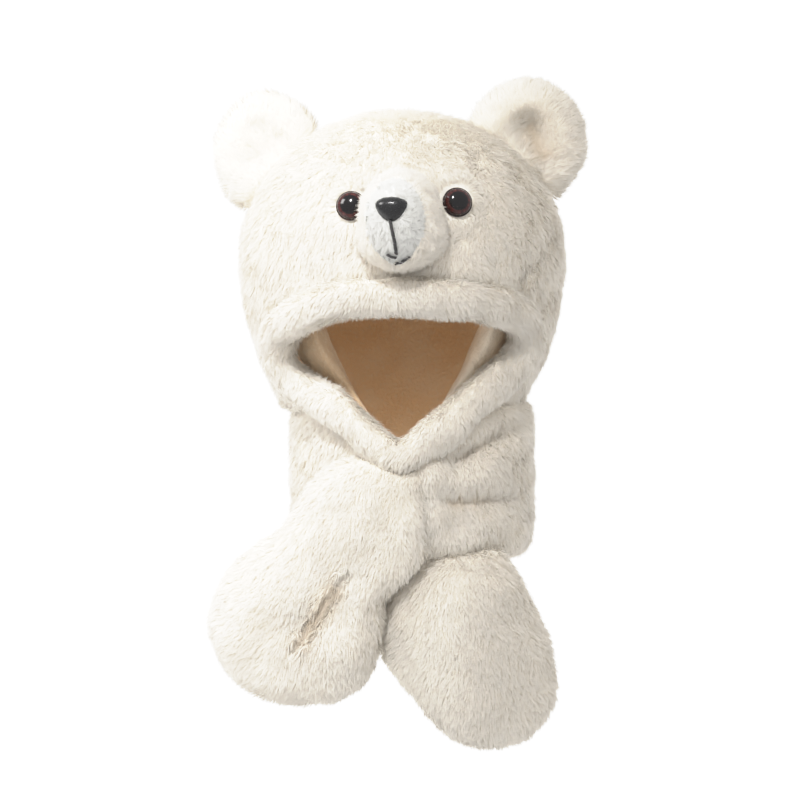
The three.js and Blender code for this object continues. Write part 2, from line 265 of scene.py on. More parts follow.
class Recipe:
    """A material as it is put together, node by node."""

    MIX_FACTOR, MIX_A, MIX_B, MIX_RESULT = 0, 6, 7, 2

    def __init__(self, name: str) -> None:
        """Starts an empty material."""
        self.material = bpy.data.materials.new(name)
        self.material.use_nodes = True
        self.tree = self.material.node_tree
        self.tree.nodes.clear()

    def node(
        self,
        kind: str,
        settings: Mapping[str, Any] | None = None,
        inputs: Mapping[str | int, Any] | None = None,
    ) -> bpy.types.Node:
        """Makes any node.

        Args:
            kind: the node's type.
            settings: its own settings.
            inputs: a value or a wire for each socket named or numbered.

        Returns:
            The node.
        """
        node = self.tree.nodes.new(kind)
        for name, value in (settings or {}).items():
            setattr(node, name, value)
        for key, value in (inputs or {}).items():
            if isinstance(value, Wire):
                self.tree.links.new(value.socket, node.inputs[key])
            else:
                node.inputs[key].default_value = value
        return node

    def out(self, node: bpy.types.Node, socket: str | int = 0) -> Wire:
        """Gives one of a node's outputs as a wire."""
        return Wire(self, node.outputs[socket])

    def attribute(self, name: str, socket: str = "Fac") -> Wire:
        """Reads one of the piece's own attributes."""
        return self.out(self.node("ShaderNodeAttribute", {"attribute_name": name}), socket)

    def place(self) -> Wire:
        """Gives the point on the piece in the solids' frame."""
        return self.out(self.node("ShaderNodeTexCoord"), "Object")

    def axis(self, index: int) -> Wire:
        """Gives one coordinate of the point on the piece: 0 for X, 1 for Y and 2 for Z."""
        return self.out(self.node("ShaderNodeSeparateXYZ", inputs={0: self.place()}), index)

    def noise(self, scale: float, detail: float = 2.0, stretch: Place = (1, 1, 1)) -> Wire:
        """Gives cloudy noise about the point on the piece.

        Args:
            scale: how fine it is, in clouds for each metre.
            detail: how many finer layers it has.
            stretch: how much finer it is along each axis.

        Returns:
            The noise, from 0 to 1.
        """
        where = self.out(self.node("ShaderNodeMapping", inputs={"Vector": self.place(), "Scale": stretch}))
        inputs = {"Vector": where, "Scale": scale, "Detail": detail}
        return self.out(self.node("ShaderNodeTexNoise", inputs=inputs))

    def blend(self, share: "Wire | float", low: "Wire | Colour", high: "Wire | Colour") -> Wire:
        """Mixes two colours: low where share is 0 and high where it is 1."""
        inputs = {self.MIX_FACTOR: share, self.MIX_A: low, self.MIX_B: high}
        return self.out(self.node("ShaderNodeMix", {"data_type": "RGBA"}, inputs), self.MIX_RESULT)

    def bump(self, height: Wire, depth: float, strength: float = 1.0) -> Wire:
        """Turns a height from 0 to 1 into a normal, depth metres deep."""
        inputs = {"Height": height, "Distance": depth, "Strength": strength}
        return self.out(self.node("ShaderNodeBump", inputs=inputs))

    def principled(self, inputs: Mapping[str, Any]) -> Wire:
        """Makes the main shader from its sockets' values."""
        return self.out(self.node("ShaderNodeBsdfPrincipled", inputs=inputs))

    def done(self, shader: Wire) -> bpy.types.Material:
        """Joins the shader to the output and gives the material."""
        self.node("ShaderNodeOutputMaterial", inputs={"Surface": shader})
        return self.material


# Finishes


@dataclass(frozen=True)
class PileFinish:
    """Fibres that let some light through, warmer at the root and paler at the tip, with painted shade in
    creases.
    """

    name: str
    root: Colour
    tip: Colour
    warm: Colour
    through: Colour
    # painted shade, blended in along creases and hollows
    crease: Colour = (0.74, 0.61, 0.45, 1)
    through_share: float = 0.36
    rough: float = 0.62
    root_fades: float = 0.75  # a power: the lower it is, the nearer the root its colour ends
    cloud_size: float = 28.0  # clouds for each metre
    warm_share: float = 0.35
    tone_share: float = 0.2

    def make(self) -> bpy.types.Material:
        """Makes the material for a pile whose vertices hold height, tone and crease, the painted shade that
        their creases give them.

        Returns:
            The material.
        """
        r = Recipe(self.name)
        height, tone = r.attribute("height"), r.attribute("tone")
        clouds = r.noise(self.cloud_size, 3.0).step(0.35, 0.75)
        colour = r.blend(height ** self.root_fades, self.root, self.tip)
        colour = r.blend(clouds * self.warm_share, colour, self.warm)
        colour = r.blend(tone * self.tone_share, colour, self.root)
        # painted shade in creases and hollows, by each vertex's crease value
        colour = r.blend(r.attribute("crease"), colour, self.crease)
        solid = r.principled({
            "Base Color": colour,
            "Roughness": self.rough + tone * 0.2,
            "Specular IOR Level": 0.25,
            "Sheen Weight": 0.25,
            "Sheen Roughness": 0.5,
        })
        glow = r.out(r.node("ShaderNodeBsdfTranslucent", inputs={"Color": self.through}))
        mixed = r.node("ShaderNodeMixShader", inputs={0: self.through_share, 1: solid, 2: glow})
        return r.done(r.out(mixed))


@dataclass(frozen=True)
class BackingFinish:
    """The knitted backing of the plush, seen only between the roots of the pile."""

    name: str
    low: Colour
    high: Colour
    tuft_size: float = 420.0  # tufts for each metre
    tuft_deep: float = 0.0009
    cloud_size: float = 40.0

    def make(self) -> bpy.types.Material:
        """Makes the material.

        Returns:
            The material.
        """
        r = Recipe(self.name)
        tufts = r.noise(self.tuft_size, 4.0)
        clouds = r.noise(self.cloud_size, 2.0)
        colour = r.blend((tufts * 0.7 + clouds * 0.3).step(0.3, 0.7), self.low, self.high)
        return r.done(r.principled({
            "Base Color": colour,
            "Roughness": 0.86 + tufts * 0.1,
            "Sheen Weight": 0.2,
            "Normal": r.bump(tufts, self.tuft_deep),
        }))


@dataclass(frozen=True)
class FleeceFinish:
    """Short tan fleece, paler towards the face opening where it is brushed; there it has painted light on the
    viewer's right and painted shade on the left.
    """

    name: str = "fleece_lining"
    deep: Colour = (0.88, 0.63, 0.39, 1)
    mid: Colour = (0.92, 0.71, 0.49, 1)
    # pale tan: painted light at the opening on the viewer's right, also the paler tufts
    edge: Colour = (0.93, 0.84, 0.71, 1)
    # darker tan: painted shade at the opening on the viewer's left
    wear_and_painted_shade: Colour = (0.60, 0.42, 0.26, 1)
    # where the painted light and shade at the opening come in
    edge_from: float = -0.040  # along Y
    edge_to: float = -0.066
    side_change: float = 0.03  # along X, either way from the middle
    tuft_size: float = 520.0  # tufts for each metre
    tuft_deep: float = 0.0012
    cloud_size: float = 24.0

    def make(self) -> bpy.types.Material:
        """Makes the material.

        Returns:
            The material.
        """
        r = Recipe(self.name)
        tufts = r.noise(self.tuft_size, 5.0)
        clouds = r.noise(self.cloud_size, 2.0)
        colour = r.blend(clouds.step(0.36, 0.66), self.deep, self.mid)
        # At the opening: painted shade on the viewer's left, painted light on the right
        side = r.blend(r.axis(0).step(-self.side_change, self.side_change), self.wear_and_painted_shade, self.edge)
        colour = r.blend(r.axis(1).step(self.edge_from, self.edge_to), colour, side)
        colour = r.blend(tufts.step(0.45, 0.75) * 0.25, colour, self.edge)
        return r.done(r.principled({
            "Base Color": colour,
            "Roughness": 0.8 + tufts * 0.15,
            "Sheen Weight": 0.3,
            "Sheen Roughness": 0.4,
            "Normal": r.bump(tufts * 0.7 + clouds * 0.3, self.tuft_deep),
        }))


@dataclass(frozen=True)
class NoseFinish:
    """Moulded black plastic, polished, with the faint ripple of the mould."""

    name: str = "nose_plastic"
    black: Colour = (0.009, 0.009, 0.01, 1)
    # the dusty specks' colour, the nose's own
    wear_and_painted_shade: Colour = (0.03, 0.03, 0.032, 1)
    dust_size: float = 900.0  # specks for each metre
    ripple_size: float = 160.0
    ripple_deep: float = 0.00012

    def make(self) -> bpy.types.Material:
        """Makes the material.

        Returns:
            The material.
        """
        r = Recipe(self.name)
        dust = r.noise(self.dust_size, 3.0)
        ripple = r.noise(self.ripple_size, 1.0)
        return r.done(r.principled({
            "Base Color": r.blend(dust.step(0.55, 0.8) * 0.5, self.black, self.wear_and_painted_shade),
            "Roughness": 0.2 + dust * 0.12,
            "Specular IOR Level": 0.45,
            "Coat Weight": 0.15,
            "Coat Roughness": 0.12,
            "Normal": r.bump(ripple, self.ripple_deep, 0.35),
        }))


@dataclass(frozen=True)
class EyeFinish:
    """A clear domed button over a black pupil and a red-brown iris with fine spokes."""

    name: str = "eye_plastic"
    pupil: Colour = (0.004, 0.003, 0.004, 1)
    iris: Colour = (0.034, 0.006, 0.006, 1)
    iris_pale: Colour = (0.070, 0.016, 0.014, 1)
    rim: Colour = (0.016, 0.005, 0.005, 1)
    pupil_ends: float = 0.68  # as a share of the radius
    iris_ends: float = 0.90
    blur: float = 0.05  # how far one ring runs into the next
    rim_blur: float = 0.04
    fleck_size: float = 700.0  # flecks for each metre

    def make(self) -> bpy.types.Material:
        """Makes the material for a mesh whose vertices hold ring and spoke.

        Returns:
            The material.
        """
        r = Recipe(self.name)
        ring, spoke = r.attribute("ring"), r.attribute("spoke")
        fleck = r.noise(self.fleck_size, 2.0)
        iris = r.blend((spoke * 0.6 + fleck * 0.4).step(0.3, 0.8), self.iris, self.iris_pale)
        past_pupil = ring.step(self.pupil_ends - self.blur, self.pupil_ends + self.blur)
        past_iris = ring.step(self.iris_ends - self.blur, self.iris_ends + self.rim_blur)
        colour = r.blend(past_iris, r.blend(past_pupil, self.pupil, iris), self.rim)
        return r.done(r.principled({
            "Base Color": colour,
            "Roughness": 0.12 + fleck * 0.06,
            "Specular IOR Level": 0.25,
            "Coat Weight": 0.45,
            "Coat Roughness": 0.04,
        }))


@dataclass(frozen=True)
class ThreadFinish:
    """Black embroidery thread with the fine lines of its twist."""

    name: str = "mouth_thread"
    dark: Colour = (0.010, 0.009, 0.009, 1)
    pale: Colour = (0.05, 0.045, 0.045, 1)
    strand_size: float = 2600.0  # strands for each metre
    strand_long: float = 0.4  # how much coarser they are along the object's height
    strand_deep: float = 0.00015

    def make(self) -> bpy.types.Material:
        """Makes the material.

        Returns:
            The material.
        """
        r = Recipe(self.name)
        strands = r.noise(self.strand_size, 3.0, (1, 1, self.strand_long))
        return r.done(r.principled({
            "Base Color": r.blend(strands.step(0.4, 0.75), self.dark, self.pale),
            "Roughness": 0.5 + strands * 0.3,
            "Sheen Weight": 0.4,
            "Normal": r.bump(strands, self.strand_deep),
        }))


@dataclass(frozen=True)
class PaperFinish:
    """The studio's pale paper sweep, lit at the back as a backdrop is."""

    name: str = "studio_paper"
    pale: Colour = (0.78, 0.78, 0.78, 1)
    white: Colour = (0.82, 0.82, 0.82, 1)
    lit: Colour = (1, 1, 1, 1)
    unlit: Colour = (0, 0, 0, 1)
    glow: float = 0.8
    glow_from: float = 0.35  # along Y
    glow_to: float = 1.0
    grain_size: float = 60.0  # grains for each metre

    def make(self) -> bpy.types.Material:
        """Makes the material.

        Returns:
            The material.
        """
        r = Recipe(self.name)
        grain = r.noise(self.grain_size, 3.0)
        return r.done(r.principled({
            "Base Color": r.blend(grain, self.pale, self.white),
            "Roughness": 0.9,
            "Emission Color": r.blend(r.axis(1).step(self.glow_from, self.glow_to), self.unlit, self.lit),
            "Emission Strength": self.glow,
        }))


# Pile


class Ripple:
    """A smooth field of vectors made of a few waves, the same on every run."""

    WAVES = 9

    def __init__(self, size: float, seed: int) -> None:
        """Sets out waves of about one size.

        Args:
            size: the length of a wave.
            seed: picks the waves.
        """
        rng = np.random.default_rng(seed)
        reach = 2 * math.pi / size * rng.uniform(0.6, 1.5, (self.WAVES, 1))
        self.waves = unit(rng.normal(size=(self.WAVES, 3))) * reach
        self.phases = rng.uniform(0, 2 * math.pi, self.WAVES)
        self.pushes = rng.normal(size=(self.WAVES, 3)) / math.sqrt(self.WAVES / 2)

    def at(self, points: Array) -> Array:
        """Gives the field's vector at each point."""
        return np.sin(points @ self.waves.T + self.phases) @ self.pushes


class Cover:
    """The finished bases, which hide what is rooted inside them."""

    REACHES = (0.0014, 0.004)  # a root is tested this far out along its normal
    PAST = 1e-6  # a line goes on from this far past a face

    def __init__(self) -> None:
        """Starts with no bases."""
        self.bases: dict[str, tuple[BVHTree, Array, Array]] = {}

    def add(self, piece: bpy.types.Object) -> None:
        """Takes in a finished base."""
        points = points_of(piece.data)
        self.bases[piece.name] = (tree_of(piece.data), points.min(0), points.max(0))

    def bare(self, own: str, points: Array, normals: Array) -> Array:
        """Tells which roots are in the open.

        Args:
            own: the name of the base that they stand on.
            points: the roots.
            normals: the cloth's normal at each root.

        Returns:
            True for each root that no other base buries.
        """
        open_air = np.ones(len(points), bool)
        for name, (tree, low, high) in self.bases.items():
            if name == own:
                continue
            for reach in self.REACHES:
                probes = points + normals * reach
                near = np.all((probes > low) & (probes < high), axis=1) & open_air
                for index in np.flatnonzero(near):
                    probe = Vector(probes[index])
                    where, normal, _, _ = tree.find_nearest(probe)
                    if where is not None and (probe - where).dot(normal) < 0 and self._inside(tree, probe):
                        open_air[index] = False
        return open_air

    def _inside(self, tree: BVHTree, probe: Vector) -> bool:
        """Tells whether a closed base holds a point.

        Args:
            tree: the base's faces.
            probe: the point.

        Returns:
            True where a line straight up from the point leaves the base once more than it enters.
        """
        up, passed = Vector((0, 0, 1)), 0
        where = tree.ray_cast(probe, up)[0]
        while where is not None:
            passed += 1
            where = tree.ray_cast(where + up * self.PAST, up)[0]
        return passed % 2 == 1


@dataclass(frozen=True)
class PileCut:
    """How one pile is cut and brushed. Lengths are metres and angles radians."""

    length: float = 0.0074
    width: float = 0.00050
    lift: float = 0.86  # between the fibre and the cloth at the root
    droop: float = 0.42  # how far the outer half lies down
    sink: float = 0.0014  # how deep under the base's face a fibre is rooted
    lock: float = 0.0042  # the spacing of the locks
    pull: float = 0.045  # how far the tips close in on their lock
    lock_turn: float = 0.16  # how much locks differ in where they point
    lock_lift: float = 0.06  # and in how they stand
    stray: float = 0.18  # how much fibres differ from their lock
    stray_lift: float = 0.6  # the share of it in how they stand
    least_lift: float = 0.15
    most_lift: float = 1.35
    twist: float = 0.35  # how much blades are turned about their own line
    hang: float = 0.12  # how far the outer half hangs down
    soft: float = 0.87  # how far the shading follows the cloth under the fibres
    sway: float = 0.25  # how far the brushed way wanders
    sway_size: float = 0.035  # the length of a wave in it
    uneven_locks: float = 0.05  # as a share of the length
    uneven_fibres: float = 0.12
    tones: float = 0.16  # how much locks, and fibres in them, differ in tone
    density: float = 1.71e6  # fibres for each square metre

    def shorter(self, share: float, **changes: float) -> "PileCut":
        """Gives the same cut at a share of its length, with any other changes."""
        return PileCut(**{**self.__dict__, "length": self.length * share, **changes})


@dataclass
class Roots:
    """Where fibres stand on a base, and the cloth's normal there."""

    points: Array
    normals: Array

    def kept(self, mask: Array) -> "Roots":
        """Gives the roots where the mask is True."""
        return Roots(self.points[mask], self.normals[mask])


def scatter(base: bpy.types.Object, density: float, rng: np.random.Generator) -> Roots:
    """Spreads roots evenly at random over a base.

    Args:
        base: the finished base.
        density: how many for each square metre.
        rng: the source of chance.

    Returns:
        The roots.
    """
    mesh = base.data
    mesh.calc_loop_triangles()
    corners = np.empty(len(mesh.loop_triangles) * 3, np.int32)
    mesh.loop_triangles.foreach_get("vertices", corners)
    corners = corners.reshape(-1, 3)
    points, normals = points_of(mesh)[corners], normals_of(mesh)[corners]
    area = np.linalg.norm(np.cross(points[:, 1] - points[:, 0], points[:, 2] - points[:, 0]), axis=1) / 2
    count = int(area.sum() * density)
    chosen = rng.choice(len(area), count, p=area / area.sum())
    share = rng.dirichlet((1, 1, 1), count)[:, :, None]
    return Roots((points[chosen] * share).sum(1), unit((normals[chosen] * share).sum(1)))


class Pile:
    """A pile of bent fibres, each a narrow blade of two triangles, gathered into locks."""

    BEND = 0.5  # the share of the length below the bend
    PULLS = (0.5, 1.2)  # the least and the most of the cut's pull
    PULL_AT_BEND = 0.3
    WIDTHS = (0.7, 1.25)  # the least and the most of the cut's width
    HEIGHTS = (0.0, 0.5, 0.5, 1.0)  # of a blade's root, its two sides and its tip
    CORNERS = (0, 1, 2, 2, 1, 3)  # of its two triangles

    def __init__(self, cut: PileCut, comb: Comb, seed: int) -> None:
        """Sets how the pile is cut and brushed.

        Args:
            cut: its sizes.
            comb: gives the way it is brushed at each point, from the points and the normals.
            seed: picks the chances.
        """
        self.cut = cut
        self.comb = comb
        self.seed = seed

    def _bundle(self, roots: Roots, rng: np.random.Generator) -> tuple[Array, KDTree, Array]:
        """Gathers the roots into locks.

        Args:
            roots: all the roots.
            rng: the source of chance.

        Returns:
            The number of each root's lock, and the index of each lock's middle root.
        """
        share = 1 / (self.cut.density * self.cut.lock ** 2)
        middles = rng.choice(len(roots.points), max(1, int(len(roots.points) * share)), replace=False)
        tree = KDTree(len(middles))
        for number, index in enumerate(middles):
            tree.insert(roots.points[index], number)
        tree.balance()
        return np.array([tree.find(p)[1] for p in roots.points]), middles

    def grow(self, name: str, roots: Roots, crease: Array) -> bpy.types.Object:
        """Makes the fibres as one mesh.

        Args:
            name: the new piece's name.
            roots: where they stand.
            crease: how much painted shade each root gets from the creases it stands in, from 0 to 1.

        Returns:
            The new piece, with height, tone and crease, its painted shade, on its vertices.
        """
        cut, rng = self.cut, np.random.default_rng(self.seed)
        n, normal = len(roots.points), roots.normals
        lock, middles = self._bundle(roots, rng)
        locks = len(middles)

        flow = unit(self.comb(roots.points, normal))
        flow = flow + cut.sway * Ripple(cut.sway_size, self.seed + 1).at(roots.points)
        flow = unit(flow - normal * along(flow, normal))
        turn = (rng.normal(0, cut.lock_turn, locks)[lock] + rng.normal(0, cut.stray, n))[:, None]
        flow = flow * np.cos(turn) + np.cross(normal, flow) * np.sin(turn)
        stray = rng.normal(0, cut.lock_lift, locks)[lock] + rng.normal(0, cut.stray * cut.stray_lift, n)
        lift = np.clip(cut.lift + stray, cut.least_lift, cut.most_lift)[:, None]
        uneven = rng.normal(0, cut.uneven_locks, locks)[lock] + rng.normal(0, cut.uneven_fibres, n)
        length = cut.length * (1 + uneven)[:, None]

        rise = flow * np.cos(lift) + normal * np.sin(lift)
        start = roots.points - normal * cut.sink
        middle = start + rise * length * self.BEND
        lean = unit(rise - normal * cut.droop + DOWN * cut.hang)
        end = middle + lean * length * (1 - self.BEND)
        pull = cut.pull * rng.uniform(*self.PULLS, n)[:, None]
        end = end + (end[middles][lock] - end) * pull
        middle = middle + (middle[middles][lock] - middle) * pull * self.PULL_AT_BEND

        side = unit(np.cross(rise, normal))
        twist = rng.normal(0, cut.twist, n)[:, None]
        side = side * np.cos(twist) + np.cross(rise, side) * np.sin(twist)
        half = side * cut.width / 2 * rng.uniform(*self.WIDTHS, n)[:, None]
        tone = np.clip(rng.normal(0.5, cut.tones, locks)[lock] + rng.normal(0, cut.tones, n), 0, 1)
        blades = np.stack([start, middle + half, middle - half, end], 1)
        own = unit(np.cross(side, rise))
        own *= np.sign(along(own, normal))
        shown = unit(own * (1 - cut.soft) + normal * cut.soft)
        return self._mesh(name, blades, tone, crease, shown)

    def _mesh(self, name: str, blades: Array, tone: Array, crease: Array, shown: Array) -> bpy.types.Object:
        """Makes one mesh of all the blades.

        Args:
            name: the piece's name.
            blades: four points for each blade: its root, its two sides and its tip.
            tone: a chance number from 0 to 1 for each blade.
            crease: how much painted shade each blade gets from the creases it stands in, from 0 to 1.
            shown: the normal that each blade is shaded by.

        Returns:
            The piece.
        """
        n = len(blades)
        mesh = bpy.data.meshes.new(name)
        mesh.vertices.add(4 * n)
        mesh.loops.add(6 * n)
        mesh.polygons.add(2 * n)
        mesh.vertices.foreach_set("co", blades.astype(np.float32).ravel())
        corners = np.arange(n)[:, None] * 4 + np.array(self.CORNERS)
        mesh.loops.foreach_set("vertex_index", corners.astype(np.int32).ravel())
        mesh.polygons.foreach_set("loop_start", np.arange(0, 6 * n, 3, dtype=np.int32))
        mesh.polygons.foreach_set("use_smooth", np.ones(2 * n, bool))
        mesh.update(calc_edges=True)
        height = mesh.attributes.new("height", "FLOAT", "POINT")
        height.data.foreach_set("value", np.tile(np.array(self.HEIGHTS, np.float32), n))
        for label, values in (("tone", tone), ("crease", crease)):
            attribute = mesh.attributes.new(label, "FLOAT", "POINT")
            attribute.data.foreach_set("value", np.repeat(values, 4).astype(np.float32))
        mesh.normals_split_custom_set_from_vertices(np.repeat(shown, 4, axis=0).tolist())
        piece = bpy.data.objects.new(name, mesh)
        bpy.context.scene.collection.objects.link(piece)
        return piece


# Pieces


def downwards(points: Array, normals: Array) -> Array:
    """Brushes the pile straight down."""
    return np.tile(DOWN, (len(points), 1))


@dataclass
class Wardrobe:
    """The finishes that the pieces share, made once."""

    pile: bpy.types.Material
    band_pile: bpy.types.Material
    muzzle_pile: bpy.types.Material
    panel_pile: bpy.types.Material
    backing: bpy.types.Material
    panel_backing: bpy.types.Material
    fleece: bpy.types.Material
    nose: bpy.types.Material
    eye: bpy.types.Material
    thread: bpy.types.Material

    @classmethod
    def made(cls) -> "Wardrobe":
        """Makes every finish.

        Returns:
            The finishes.
        """
        cream = PileFinish(
            "cream_pile",
            root=(0.95, 0.895, 0.80, 1),
            tip=(0.97, 0.95, 0.905, 1),
            warm=(0.95, 0.905, 0.83, 1),
            through=(0.985, 0.95, 0.89, 1),
        )
        band = PileFinish(
            "band_pile",
            root=(0.90, 0.85, 0.765, 1),
            tip=(0.93, 0.905, 0.86, 1),
            warm=(0.91, 0.865, 0.79, 1),
            through=(0.965, 0.935, 0.88, 1),
        )
        muzzle = PileFinish(
            "muzzle_pile",
            root=(0.86, 0.81, 0.73, 1),
            tip=(0.90, 0.875, 0.83, 1),
            warm=(0.87, 0.83, 0.76, 1),
            through=(0.94, 0.91, 0.85, 1),
        )
        panel = PileFinish(
            "panel_pile",
            root=(0.85, 0.845, 0.82, 1),
            tip=(0.90, 0.90, 0.875, 1),
            warm=(0.87, 0.86, 0.83, 1),
            through=(0.92, 0.92, 0.90, 1),
        )
        backing = BackingFinish("plush_backing", low=(0.91, 0.85, 0.75, 1), high=(0.95, 0.90, 0.82, 1))
        panel_backing = BackingFinish("panel_backing", low=(0.72, 0.71, 0.68, 1), high=(0.82, 0.815, 0.80, 1))
        return cls(
            pile=cream.make(),
            band_pile=band.make(),
            muzzle_pile=muzzle.make(),
            panel_pile=panel.make(),
            backing=backing.make(),
            panel_backing=panel_backing.make(),
            fleece=FleeceFinish().make(),
            nose=NoseFinish().make(),
            eye=EyeFinish().make(),
            thread=ThreadFinish().make(),
        )


@dataclass(frozen=True)
class Press:
    """A soft crease or roll along a line on the side that faces the viewer, with painted shade along it if it
    has any.
    """

    start: Place
    end: Place
    wide: float  # half its width
    deep: float  # how far it goes in, or out if below zero
    shade: float = 0.0  # how much painted shade it lays on the pile along the line
    pinch: float = 0.0  # how far its two banks close on each other
    floor: float = 0.0  # how far what lies behind the line comes forward to it
    reach_back: float = 0.03  # how far behind the line it still works
    taper: float = 0.25  # the share of the line at either end where it fades
    blunt: float = 0.7  # a power: the lower it is, the blunter its ends
    facing: float = 0.5  # how far a face has to be turned to the viewer for the whole move
    narrow: int = 5  # a power: the higher it is, the narrower the painted shade

    def _near(self, points: Array) -> tuple[Array, Array]:
        """Compares points with the line.

        Args:
            points: the points.

        Returns:
            How near each is to the line, from 0 to 1, and its way back to the line.
        """
        start, line = np.array(self.start), np.array(self.end) - np.array(self.start)
        held = np.clip((points - start) @ line / (line @ line), 0, 1)[:, None]
        back = start + held * line - points
        gap = np.hypot(back[:, :1], back[:, 2:])
        ends = np.clip(np.minimum(held, 1 - held) / self.taper, 0, 1) ** self.blunt
        return np.exp(-((gap / self.wide) ** 2)) * ends * (-back[:, 1:2] < self.reach_back), back

    def shift(self, points: Array, normals: Array) -> Array:
        """Works out how far it moves each point.

        Args:
            points: the base's vertices.
            normals: their normals.

        Returns:
            The move for each vertex, nothing on the side that faces away.
        """
        near, back = self._near(points)
        facing = np.clip(-normals[:, 1:2] / self.facing, 0, 1)
        forward = np.minimum(back[:, 1:2], 0) * self.floor
        moved = np.hstack([back[:, :1] * self.pinch, forward, back[:, 2:] * self.pinch])
        return moved * near - normals * near * facing * self.deep

    def dark(self, points: Array) -> Array:
        """Gives how much painted shade the crease lays on each root, from 0 to 1."""
        return self._near(points)[0][:, 0] ** self.narrow * self.shade


@dataclass
class Plush:
    """A padded plush piece: its base from a solid, and the pile that grows on it."""

    node: str
    seed: int
    cut: PileCut = PileCut()
    voxel: float = 0.0032
    smooth: int = 6  # rounds
    fill: float = 0.7  # how full it is stuffed
    parts: int = 1  # the pieces that its pile is split into
    lumps: float = 0.0005  # how uneven the padding is
    lump_size: float = 0.028
    thin_back: float = 1.0  # the share of the pile that grows behind
    back_from: float = 0.02  # along Y
    presses: Sequence[Press] = ()
    base: bpy.types.Object | None = None

    def comb(self, points: Array, normals: Array) -> Array:
        """Gives the way that the pile is brushed at each point."""
        return downwards(points, normals)

    def keep(self, points: Array, normals: Array) -> Array:
        """Tells where the piece has pile."""
        return np.ones(len(points), bool)

    def build(self, wardrobe: Wardrobe) -> bpy.types.Object:
        """Makes the padded base and dresses it.

        Args:
            wardrobe: the finishes.

        Returns:
            The base.
        """
        self.base = copy_of(self.node, f"{self.node}_padding")
        self.pad()
        finish_piece(self.base, wardrobe.backing, Slot.PLUSH, self.node)
        return self.base

    def pad(self) -> None:
        """Turns the base into one smooth skin, with its creases, rolls and soft lumps."""
        apply_modifier(self.base, "REMESH", mode="VOXEL", voxel_size=self.voxel, use_smooth_shade=True)
        apply_modifier(self.base, "SMOOTH", factor=0.5, iterations=self.smooth)
        for press in self.presses:
            points = points_of(self.base.data)
            move_points(self.base.data, points + press.shift(points, normals_of(self.base.data)))
        points = points_of(self.base.data)
        uneven = Ripple(self.lump_size, self.seed).at(points)[:, :1] * self.lumps
        move_points(self.base.data, points + normals_of(self.base.data) * uneven)

    def grow(self, cover: Cover, material: bpy.types.Material, slot: Slot = Slot.PLUSH) -> int:
        """Grows the pile, in as many pieces as it is split into.

        Args:
            cover: the bases that hide what is rooted inside them.
            material: the pile's finish.
            slot: the record's slot for it.

        Returns:
            The number of fibres.
        """
        rng = np.random.default_rng(self.seed)
        roots = scatter(self.base, self.cut.density, rng)
        roots = roots.kept(self.keep(roots.points, roots.normals))
        spared = rng.random(len(roots.points)) < self.thin_back
        roots = roots.kept((roots.points[:, 1] < self.back_from) | spared)
        roots = roots.kept(cover.bare(self.base.name, roots.points, roots.normals))
        order = np.argsort(np.arctan2(roots.points[:, 0] - roots.points[:, 0].mean(), -roots.points[:, 1]))
        for part, share in enumerate(np.array_split(order, self.parts)):
            name = f"{self.node}_pile" + (f"_{part + 1}" if self.parts > 1 else "")
            share = np.sort(share)
            here = roots.kept(share)
            piece = Pile(self.cut, self.comb, self.seed + part).grow(name, here, self._painted_crease_shade(here.points))
            finish_piece(piece, material, slot)
        return len(roots.points)

    def _painted_crease_shade(self, points: Array) -> Array:
        """Gives how much painted shade the creases lay on each root, from 0 to 1."""
        return np.clip(sum((press.dark(points) for press in self.presses), np.zeros(len(points))), 0, 1)


@dataclass
class Hood(Plush):
    """The hood's outer plush, from the crown down to the neck seam."""

    node: str = "hood_shell"
    seed: int = 11
    parts: int = 3
    thin_back: float = 0.8
    voxel: float = 0.0048
    presses: Sequence[Press] = (
        Press((-0.074, -0.086, -0.108), (0.004, -0.104, -0.086), 0.010, -0.0035),
        Press((-0.004, -0.104, -0.086), (0.078, -0.082, -0.102), 0.010, -0.0035),
    )
    middle: Place = (0.0, 0.003, -0.0767)
    hem_from: float = -0.156  # along Z
    hem_to: float = -0.168
    hem_drop: float = 0.005
    down: float = 0.7  # how strongly the pile is brushed down
    outward: float = 0.6
    inner: float = 0.1  # faces that look out less than this have no pile
    eyes: Sequence[Vector] = ()
    eye_radius: float = 0.0088
    eye_under: float = 0.97  # the share of that radius that has no pile
    eye_clear: float = 0.008  # how far out the pile is brushed away from an eye
    eye_push: float = 2.2

    def pad(self) -> None:
        """Pads the base, and draws its hem down over the neck wrap."""
        super().pad()
        points = points_of(self.base.data)
        share = np.clip((points[:, 2] - self.hem_from) / (self.hem_to - self.hem_from), 0, 1)
        points[:, 2] -= share * self.hem_drop
        move_points(self.base.data, points)

    def _out(self, points: Array) -> Array:
        """Works out the way out from the head's middle.

        Args:
            points: the points.

        Returns:
            The way at each point, level below the head's widest part.
        """
        out = points - np.array(self.middle)
        out[:, 2] = np.maximum(out[:, 2], 0)
        return unit(out)

    def comb(self, points: Array, normals: Array) -> Array:
        """Brushes down from the crown, and away from the eyes.

        Args:
            points: the roots.
            normals: the cloth's normal at each root.

        Returns:
            The way at each root.
        """
        flow = downwards(points, normals) * self.down + self._out(points) * self.outward
        for eye in self.eyes:
            away = points - np.array(eye)
            away[:, 1] = 0
            gap = np.linalg.norm(away, axis=1, keepdims=True) - self.eye_radius
            near = np.clip(1 - gap / self.eye_clear, 0, 1) * (points[:, 1:2] < 0)
            flow = flow + unit(away) * near * self.eye_push
        return flow

    def keep(self, points: Array, normals: Array) -> Array:
        """Leaves out the wall's inner face and what is under the eyes.

        Args:
            points: the roots.
            normals: the cloth's normal at each root.

        Returns:
            True for each root that stays.
        """
        outside = along(self._out(points), normals)[:, 0] > self.inner
        for eye in self.eyes:
            away = points - np.array(eye)
            far = np.hypot(away[:, 0], away[:, 2]) > self.eye_radius * self.eye_under
            outside &= far | (points[:, 1] > 0)
        return outside


